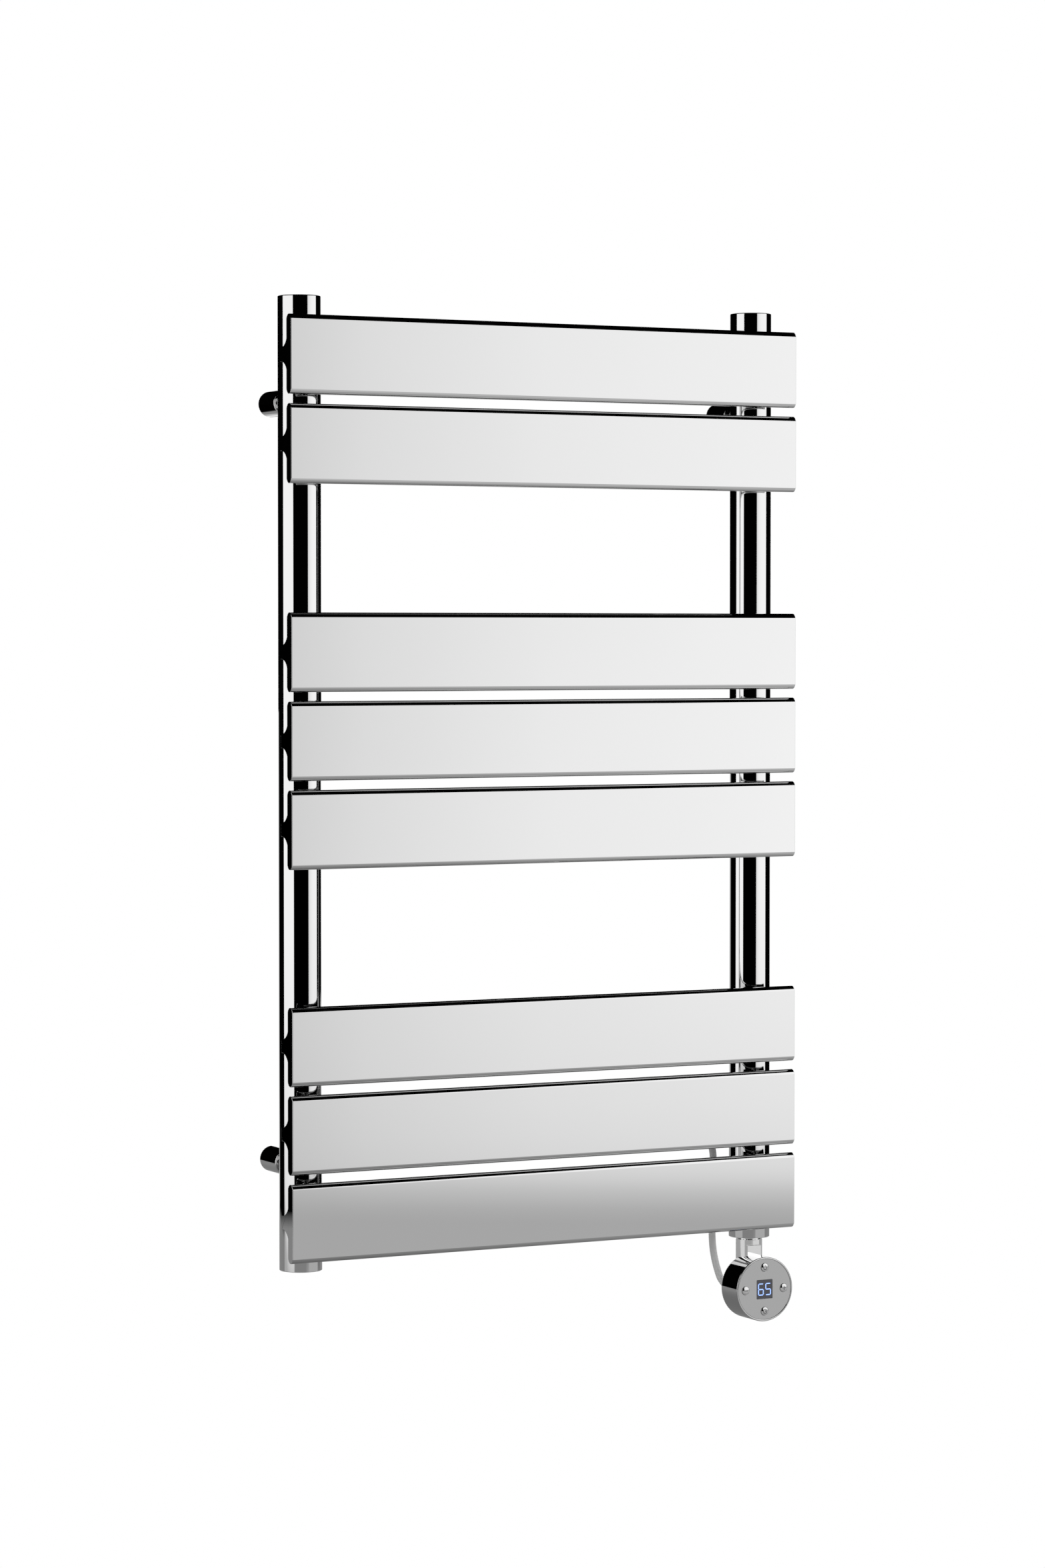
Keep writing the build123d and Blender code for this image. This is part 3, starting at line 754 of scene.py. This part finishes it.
def sleeves():
    """Drums on the wall, with a rounded mouth, a bore for the post and a screw hole in the base."""
    for place_name in SLEEVES:
        node = f"{place_name}_wall_sleeve"
        low, high = node_box(node)
        radius = (high.x - low.x) / 2 / MM
        length = (high.y - low.y) / MM
        bore = post_radius() + BORE_GAP
        profile = [(bore, length - SLEEVE_BASE), (WALL_HOLE, length - SLEEVE_BASE),
                   (WALL_HOLE, length), (radius - SLEEVE_BACK_EDGE, length),
                   (radius, length - SLEEVE_BACK_EDGE), (radius, SLEEVE_MOUTH)]
        profile += arc_points((radius - SLEEVE_MOUTH, SLEEVE_MOUTH), SLEEVE_MOUTH, 0, -90, 8)[1:]
        profile += [(bore + BORE_EDGE, 0), (bore, BORE_EDGE)]
        centre = front_middle(low, high)
        drum = mesh_piece(f"{place_name}_sleeve_drum",
                          *lathe(supported(profile, closed=True), centre, "y", STEPS, True))
        screw_at = Vector((centre.x, high.y - SCREW_DEPTH * MM, centre.z))
        outside = 1.3 * radius
        if place_name == "lower_left":
            hole = bar("screw_hole", HEADED_SCREW_HOLE, 1, outside, "z", screw_at)
        else:
            hole = bar("screw_hole", GRUB_SCREW_HOLE, -outside, -1, "z", screw_at)
        cut(drum, [hole])
        place(drum, "wall_mounts", sleeve_chrome, [node])


def post_radius():
    """The posts' radius in mm, from the top of an upper post and its sleeve's axis."""
    return (node_box("bracket_posts")[1].z - node_middle("upper_left_wall_sleeve").z) / MM


def posts():
    """Round posts welded to the collectors, with a small weld at each root."""
    end = node_box("bracket_posts")[1].y
    radius = post_radius()
    root = node_box("left_collector")[1].y - POST_SINK * MM
    length = (end - root) / MM
    weld = [(radius + beyond, distance) for beyond, distance in POST_WELD]
    profile = supported([(0, 0), *weld, (radius, length - POST_EDGE),
                         (radius - POST_EDGE, length), (0, length)])
    bars = []
    for sleeve in SLEEVES:
        middle = node_middle(f"{sleeve}_wall_sleeve")
        bars.append(lathe(profile, Vector((middle.x, root, middle.z)), "y", SMALL_STEPS))
    place(mesh_piece("wall_posts", *join_meshes(bars), 50), "rack", tube_chrome,
          ["bracket_posts"])


# ---------------------------------------------------------------- control head
# Lengths in mm.
HEAD_FRONT_ROUND = 0.9
HEAD_BACK_ROUND = 3.0
HEAD_RIM = 1.65
HEAD_RIM_EDGE = 0.35
HEAD_RIM_DEPTH = 4.0
NECK_FLAT_DROP = 7.0
NECK_STEP = 2.0
NECK_STEP_IN = 1.6
NECK_EDGE = 0.4
NECK_RISE = 3.0
NECK_FLAT = 9.7
FLAT_BEVEL = 0.8
FLAT_REACH_DOWN = -10.0
COVER_SINK = 0.5
COVER_EDGE = 0.3
COVER_ROUND = 2.0
COVER_SCREW_HEAD = 2.3
POCKET_GAP = 0.15
POCKET_DEPTH = 1.3


def flat_cutter(centre, side, low_z, top_z, reach):
    """A closed bar along X that cuts a spanner flat with a bevelled groove along its top."""
    section = [(NECK_FLAT, low_z), (NECK_FLAT, top_z - FLAT_BEVEL), (NECK_FLAT - FLAT_BEVEL, top_z),
               (reach, top_z), (reach, low_z)]
    verts = [centre + Vector((x, side * y, z)) * MM for x in (-reach, reach) for y, z in section]
    count = len(section)
    faces = [[k, (k + 1) % count, count + (k + 1) % count, count + k] for k in range(count)]
    faces += [list(range(count)), list(range(count, 2 * count))]
    return mesh_piece("flat_cutter", verts, faces)


def neck():
    """The element's neck: a round collar with two spanner flats."""
    low, high = node_box("element_neck")
    collector_low = node_box("right_collector")[0]
    radius = (high.x - low.x) / 2 / MM
    length = (collector_low.z - low.z) / MM
    step_radius = radius - NECK_STEP_IN
    step = length - NECK_STEP
    profile = supported([(0, 0), (radius, 0), (radius, step - NECK_EDGE),
                         (radius - NECK_EDGE, step), (step_radius, step),
                         (step_radius, length + NECK_RISE), (0, length + NECK_RISE)])
    middle = node_middle("element_neck")
    centre = Vector((middle.x, middle.y, low.z))
    collar = mesh_piece("neck_collar", *lathe(profile, centre, "z", STEPS))
    flat_top = length - NECK_FLAT_DROP
    cut(collar, [flat_cutter(centre, side, FLAT_REACH_DOWN, flat_top, 2 * radius)
                 for side in (-1, 1)])
    place(collar, "rack", fitting_chrome, ["element_neck"])


def casing():
    """The head's drum: a thin front rim, a straight side and a rounded back edge."""
    low, high = node_box("head_casing")
    radius = (high.x - low.x) / 2 / MM
    depth = (high.y - low.y) / MM
    inner = radius - HEAD_RIM
    profile = [(inner, HEAD_RIM_DEPTH), (inner, HEAD_RIM_EDGE), (inner + HEAD_RIM_EDGE, 0)]
    front = (radius - HEAD_FRONT_ROUND, HEAD_FRONT_ROUND)
    profile += arc_points(front, HEAD_FRONT_ROUND, -90, 0, 8)
    back = (radius - HEAD_BACK_ROUND, depth - HEAD_BACK_ROUND)
    profile += arc_points(back, HEAD_BACK_ROUND, 0, 90, 12)
    profile.append((0, depth))
    centre = front_middle(low, high)
    drum = mesh_piece("head_drum", *lathe(supported(profile), centre, "y", FINE_STEPS))
    place(drum, "rack", head_chrome, ["head_casing"])


def rear_cover():
    """A round cup behind the casing, with a pocket for each of its two screws."""
    low, high = node_box("rear_cover")
    radius = (high.x - low.x) / 2 / MM
    depth = (high.y - low.y) / MM
    inner = radius - COVER_EDGE
    profile = [(0, -COVER_SINK), (inner, -COVER_SINK), (inner, COVER_EDGE),
               (radius, 2 * COVER_EDGE)]
    profile += arc_points((radius - COVER_ROUND, depth - COVER_ROUND), COVER_ROUND, 0, 90, 10)
    profile.append((0, depth))
    centre = front_middle(low, high)
    cup = mesh_piece("rear_cup", *lathe(supported(profile), centre, "y", STEPS))
    screws_low, screws_high = node_box("rear_cover_screws")
    pockets = []
    for x in (screws_low.x + COVER_SCREW_HEAD * MM, screws_high.x - COVER_SCREW_HEAD * MM):
        spot = Vector((x, high.y, (screws_low.z + screws_high.z) / 2))
        pockets.append(bar("screw_pocket", COVER_SCREW_HEAD + POCKET_GAP, -POCKET_DEPTH, 1,
                           "y", spot))
    cut(cup, pockets)
    place(cup, "rack", head_chrome, ["rear_cover"])


def flat_plate(name, outlines, centre, thickness, edge):
    """A flat plate that faces forward (-Y), with holes and a fine chamfer all round."""
    curve = bpy.data.curves.new(name, "CURVE")
    curve.dimensions = "2D"
    curve.fill_mode = "BOTH"
    curve.extrude = (thickness / 2 - edge) * MM
    curve.bevel_depth = edge * MM
    curve.bevel_resolution = 1
    curve.offset = -edge * MM
    for outline in outlines:
        spline = curve.splines.new("POLY")
        spline.points.add(len(outline) - 1)
        for point, (x, z) in zip(spline.points, outline):
            point.co = (x * MM, z * MM, 0, 1)
        spline.use_cyclic_u = True
    drawn = new_object(name, curve)
    mesh = bpy.data.meshes.new_from_object(drawn)
    bpy.data.objects.remove(drawn)
    mesh.transform(Matrix.Translation(centre) @ Matrix.Rotation(radians(90), 4, "X"))
    mesh.polygons.foreach_set("use_smooth", [True] * len(mesh.polygons))
    mesh.set_sharp_from_angle(angle=radians(PLATE_SHARP_ANGLE))
    return new_object(name, mesh)


def rounded_outline(width, height, radius, steps=8):
    """A rectangle with round corners, as (x, z) points."""
    x, z = width / 2 - radius, height / 2 - radius
    points = []
    for centre, start in (((x, z), 0), ((-x, z), 90), ((-x, -z), 180), ((x, -z), 270)):
        points += arc_points(centre, radius, start, start + 90, steps)
    return points


# Lengths in mm. A button's rim is (in from its side, behind the dome's edge).
BUTTONS = ("button_power", "button_minus", "button_plus", "button_timer")
BUTTON_RADIUS = 3.85
BUTTON_HOLE_GAP = 0.12
BUTTON_DOME = 0.8
BUTTON_EDGE = 0.25
BUTTON_RIM = ((0.06, 0.12), (0.0, 0.32))
BUTTON_SIDE = 3.0
DOME_STEPS = 10
ICON_STROKE = 0.62
ICON_LIFT = 0.02
WINDOW_GAP = 0.2
WINDOW_ROUND = 0.8
WINDOW_EDGE = 0.1
PLATE_EDGE = 0.12


def face_plate():
    """A round plate with a cut-out for the display window and a hole for each button."""
    low, high = node_box("face_plate")
    centre = (low + high) / 2
    window = node_size("display_window") / MM
    outlines = [circle_points((0, 0), (high.x - low.x) / 2 / MM, 160),
                rounded_outline(window.x + WINDOW_GAP, window.z + WINDOW_GAP, WINDOW_ROUND)]
    hole_radius = BUTTON_RADIUS + BUTTON_HOLE_GAP
    for name in BUTTONS:
        away = (node_middle(name) - centre) / MM
        outlines.append(circle_points((away.x, away.z), hole_radius, SMALL_STEPS))
    plate = flat_plate("face_disc", outlines, centre, (high.y - low.y) / MM, PLATE_EDGE)
    place(plate, "rack", face_chrome, ["face_plate"])


def dome_drop(radius):
    """How far the button's dome has fallen away at that distance from its middle."""
    sphere = (BUTTON_RADIUS ** 2 + BUTTON_DOME ** 2) / (2 * BUTTON_DOME)
    return sphere - sqrt(sphere ** 2 - radius ** 2)


def line_points(start, end, steps=12):
    """Points on a straight line."""
    return [(start[0] + (end[0] - start[0]) * k / steps,
             start[1] + (end[1] - start[1]) * k / steps) for k in range(steps + 1)]


def ribbon(points, width):
    """A flat stroke along points in the button's own (x, z) plane."""
    verts, faces = [], []
    for k, point in enumerate(points):
        before = Vector(points[max(k - 1, 0)])
        after = Vector(points[min(k + 1, len(points) - 1)])
        run = (after - before).normalized()
        across = Vector((-run.y, run.x)) * width / 2
        verts += [Vector(point) + across, Vector(point), Vector(point) - across]
    for k in range(len(points) - 1):
        for column in (0, 1):
            base = 3 * k + column
            faces.append([base, base + 1, base + 4, base + 3])
    return verts, faces


ICONS = {
    "button_power": [arc_points((0, -0.2), 1.7, 128, 412, 40), line_points((0, 0.5), (0, 2.1))],
    "button_minus": [line_points((-2.0, 0), (2.0, 0))],
    "button_plus": [line_points((-2.0, 0), (2.0, 0)), line_points((0, -2.0), (0, 2.0))],
    "button_timer": [arc_points((0, 0), 1.8, 0, 360, 48), line_points((0, -0.2), (0, 1.2)),
                     line_points((-0.3, 0), (0.95, 0))],
}


def buttons():
    """Domed chrome buttons, each with a dark inlaid sign that follows the dome."""
    for name in BUTTONS:
        low, high = node_box(name)
        centre = front_middle(low, high)
        reach = BUTTON_RADIUS - BUTTON_EDGE
        radii = [reach * k / DOME_STEPS for k in range(DOME_STEPS + 1)]
        profile = [(radius, dome_drop(radius)) for radius in radii]
        edge_y = dome_drop(reach)
        profile += [(BUTTON_RADIUS - inset, edge_y + behind) for inset, behind in BUTTON_RIM]
        profile += [(BUTTON_RADIUS, BUTTON_SIDE), (0, BUTTON_SIDE)]
        cap = mesh_piece(f"{name}_cap", *lathe(supported(profile), centre, "y", SMALL_STEPS))
        place(cap, name, button_chrome, [name])
        strokes = []
        for points in ICONS[name]:
            flat, faces = ribbon(points, ICON_STROKE)
            verts = [centre + Vector((p.x, dome_drop(p.length) - ICON_LIFT, p.y)) * MM
                     for p in flat]
            strokes.append((verts, faces))
        sign = mesh_piece(f"{name}_sign", *join_meshes(strokes))
        place(sign, name, icon_dark)


DIGIT_WIDTH = 5.9
DIGIT_HEIGHT = 11.0
DIGIT_GAP = 1.7
DIGIT_STROKE = 0.9
SEGMENT_GAP = 0.12
SEGMENT_LIFT = 0.02
LIT_SEGMENTS = ("acdefg", "acdfg")


def segment(start, end):
    """A pointed display segment between two corners of the digit."""
    a, b = Vector(start), Vector(end)
    run = (b - a).normalized()
    side = Vector((-run.y, run.x)) * DIGIT_STROKE / 2
    point = run * DIGIT_STROKE / 2
    a, b = a + run * SEGMENT_GAP, b - run * SEGMENT_GAP
    return [a, a + point + side, b - point + side, b, b - point - side, a + point - side]


def digits():
    """A two-digit seven-segment display, a hair in front of the window's surface."""
    low, high = node_box("display_window")
    middle = (low + high) / 2
    half_w = (DIGIT_WIDTH - DIGIT_STROKE) / 2
    half_h = (DIGIT_HEIGHT - DIGIT_STROKE) / 2
    corners = {"a": ((-half_w, half_h), (half_w, half_h)), "b": ((half_w, half_h), (half_w, 0)),
               "c": ((half_w, 0), (half_w, -half_h)), "d": ((-half_w, -half_h), (half_w, -half_h)),
               "e": ((-half_w, 0), (-half_w, -half_h)), "f": ((-half_w, half_h), (-half_w, 0)),
               "g": ((-half_w, 0), (half_w, 0))}
    lit, unlit = [], []
    for lit_names, side in zip(LIT_SEGMENTS, (-1, 1)):
        shift = side * (DIGIT_WIDTH + DIGIT_GAP) / 2
        for name, (start, end) in corners.items():
            outline = segment(start, end)
            face = Vector((middle.x, low.y, middle.z))
            verts = [face + Vector((p.x + shift, -SEGMENT_LIFT, p.y)) * MM for p in outline]
            group = lit if name in lit_names else unlit
            group.append((verts, [list(range(len(verts)))]))
    place(mesh_piece("digits_lit", *join_meshes(lit)), "rack", digit_blue)
    place(mesh_piece("digits_unlit", *join_meshes(unlit)), "rack", digit_off)


def window():
    """The display's dark pane."""
    size = node_size("display_window") / MM
    pane = flat_plate("window_pane", [rounded_outline(size.x, size.z, WINDOW_ROUND)],
                      node_middle("display_window"), size.y, WINDOW_EDGE)
    place(pane, "rack", window_dark, ["display_window"])


# Lengths in mm. A groove's profile is (above its bottom, distance from its start), and each groove
# further from the tip is shallower by its rise.
RELIEF_DIRECTION = Vector((-0.05, 0.954, 0.295)).normalized()
RELIEF_LENGTH = 20.0
RELIEF_BASE = 5.6
RELIEF_TIP = 4.0
RELIEF_TIP_EDGE = 0.3
RELIEF_ROOT = 6.0
RELIEF_GROOVES = 3
RELIEF_PITCH = 4.0
GROOVE_BOTTOM = 3.9
GROOVE_RISE = 0.3
GROOVE_LIP = 0.25
GROOVE = ((0.15, 0.0), (0.0, 0.2), (0.0, 1.2), (0.15, 1.4))


def strain_relief(exit_point):
    """A tapered sleeve with three grooves where the cable leaves the head."""
    across = RELIEF_DIRECTION.orthogonal().normalized()
    axis = (RELIEF_DIRECTION, across, RELIEF_DIRECTION.cross(across))
    base = Vector(exit_point) - RELIEF_DIRECTION * (RELIEF_LENGTH + RELIEF_ROOT) * MM
    length = RELIEF_LENGTH + RELIEF_ROOT

    def taper(distance):
        return RELIEF_BASE + (RELIEF_TIP - RELIEF_BASE) * distance / length

    profile = [(0, 0), (taper(0), 0)]
    for step in reversed(range(RELIEF_GROOVES)):
        start = length - RELIEF_PITCH * (1 + step)
        bottom = GROOVE_BOTTOM + GROOVE_RISE * step
        before, after = start - GROOVE_LIP, start + GROOVE[-1][1] + GROOVE_LIP
        profile += [(taper(before), before),
                    *((bottom + above, start + along) for above, along in GROOVE),
                    (taper(after), after)]
    profile += [(RELIEF_TIP, length - 0.4), (RELIEF_TIP - RELIEF_TIP_EDGE, length), (0, length)]
    sleeve = mesh_piece("cable_sleeve", *lathe(supported(profile), base, axis, BAR_STEPS), 50)
    place(sleeve, "rack", cable_grey, ["strain_relief"])


panels()
collectors()
saddles()
sleeves()
posts()
neck()
casing()
rear_cover()
face_plate()
buttons()
window()
digits()


# ---------------------------------------------------------------- mains cable
# The cable's diameter and its cores are in metres, the rest in mm. A ferrule's profile is (radius,
# distance) from its mouth for the collar and from its tip for the crimp. The cores start and bulge
# at parts of the distance from the cable's middle to their ferrules.
CABLE_DIAMETER = 0.0064
CABLE_ROUTE = [
    (222.8, -28.9, -472.1), (222.2, -16.9, -468.4), (221.0, -11.4, -458.5),
    (217.5, -10.8, -445.0), (213.6, -14.0, -430.0), (210.8, -18.6, -411.0),
    (209.0, -22.6, -388.0), (208.6, -24.6, -364.0), (208.4, -24.6, -342.0),
    (199.0, -25.2, -325.0), (182.0, -27.5, -316.2),
]
HANK_TURNS = 2.5
LOBE_ANGLES = (-67.5, -112.5, -157.5, 157.5, 112.5, 67.5)
LOBE_POINT_RADIUS = 21.8
LOBE_INSET = 1.2
WAIST_HALF = 3.25
FLANK_REACH = 26.0
FLANK_HALF = 8.2
TURN_SHRINK = 0.02
CORE_RADIUS = 0.0011
CORE_OVERLAP = 0.002
CORE_START = 0.9
CORE_BULGE = 1.12
FERRULE_COLLAR = ((0, -1.0), (1.35, -1.0), (1.45, 0.4), (1.0, 1.6))
FERRULE_CRIMP = ((0.95, -1.4), (0.8, -0.8), (0.95, -0.4), (0.7, 0.0), (0, 0.0))
TAIL_POINTS = (0.15, 0.6, 1.0)


def hank_points():
    """The hank's turns: two lobes and a tied waist, each turn one cable higher than the last."""
    low, high = node_box("cable_hank")
    centre = (low + high) / 2 / MM
    size = (high - low) / MM
    diameter = CABLE_DIAMETER / MM
    lobe = size.x / 2 - size.y / 2 - LOBE_INSET
    start_z = low.z / MM + diameter / 2
    left = [(-lobe + LOBE_POINT_RADIUS * cos(radians(a)), LOBE_POINT_RADIUS * sin(radians(a)))
            for a in LOBE_ANGLES]
    turn = left + [(-FLANK_REACH, FLANK_HALF), (0, WAIST_HALF), (FLANK_REACH, FLANK_HALF)]
    turn += [(-x, -y) for x, y in turn[:6]]
    turn += [(FLANK_REACH, -FLANK_HALF), (0, -WAIST_HALF), (-FLANK_REACH, -FLANK_HALF)]
    count = round(HANK_TURNS * len(turn)) - 2
    points = []
    for k in range(count):
        x, y = turn[k % len(turn)]
        size_now = 1.0 - TURN_SHRINK * (k // len(turn))
        rise = diameter * k / len(turn)
        points.append((centre.x + x * size_now, centre.y + y * size_now, start_z + rise))
    return points


def tail_points():
    """The last straight stretch of the sheath, up to where the cores come out."""
    low, high = node_box("cable_tail")
    middle = (low + high) / 2
    length = high.x - low.x
    return [(low.x + part * length, middle.y, middle.z) for part in TAIL_POINTS]


def tube_curve(name, points, radius, look, body):
    """A smooth cord: a NURBS line with the points as its control points."""
    curve = bpy.data.curves.new(name, "CURVE")
    curve.dimensions = "3D"
    spline = curve.splines.new("NURBS")
    spline.points.add(len(points) - 1)
    for point, place_at in zip(spline.points, points):
        point.co = (*place_at, 1)
    spline.order_u = 3
    spline.use_endpoint_u = True
    spline.resolution_u = 8
    curve.bevel_depth = radius
    curve.bevel_resolution = 8
    curve.use_fill_caps = True
    obj = new_object(name, curve)
    curve.materials.append(look)
    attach(obj, body)
    return obj


def ferrules(count):
    """Crimp sleeves, tin tubes with a flared collar, and the points where their cores end."""
    low, high = node_box("core_ferrules")
    middle = (low + high) / 2
    ring = (high.z - low.z) / 2 - CORE_RADIUS
    length = (high.x - low.x) / MM
    profile = supported([*FERRULE_COLLAR,
                         *((radius, length + back) for radius, back in FERRULE_CRIMP)])
    angles = [2 * pi * k / count for k in range(count)]
    ends = [Vector((low.x, middle.y + ring * cos(angle), middle.z + ring * sin(angle)))
            for angle in angles]
    tubes = [lathe(profile, end, "x", FERRULE_STEPS) for end in ends]
    return mesh_piece("crimp_ferrules", *join_meshes(tubes), 40), ends


def cable():
    """The mains cable from its sleeve to the hank's end, with its three cores and ferrules."""
    route = [tuple(value * MM for value in point) for point in CABLE_ROUTE]
    strain_relief(route[0])
    hank = [tuple(value * MM for value in point) for point in hank_points()]
    cord = tube_curve("mains_cable", route + hank + tail_points(), CABLE_DIAMETER / 2,
                      cable_grey, "rack")
    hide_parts("cable_run", "cable_hank", "cable_tail")
    looks = (core_brown, core_blue, core_green)
    metal, ends = ferrules(len(looks))
    place(metal, "rack", ferrule_tin, ["core_ferrules"])
    start_x = node_box("cable_tail")[1].x - CORE_OVERLAP
    middle = node_middle("cable_cores")
    for index, (end, look) in enumerate(zip(ends, looks), start=1):
        away = end.yz - middle.yz
        start = Vector((start_x, *(middle.yz + away * CORE_START)))
        bulge = Vector(((start_x + end.x) / 2, *(middle.yz + away * CORE_BULGE)))
        tube_curve(f"core_{index}", [start, bulge, end], CORE_RADIUS, look,
                                "rack")
    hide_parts("cable_cores")


cable()
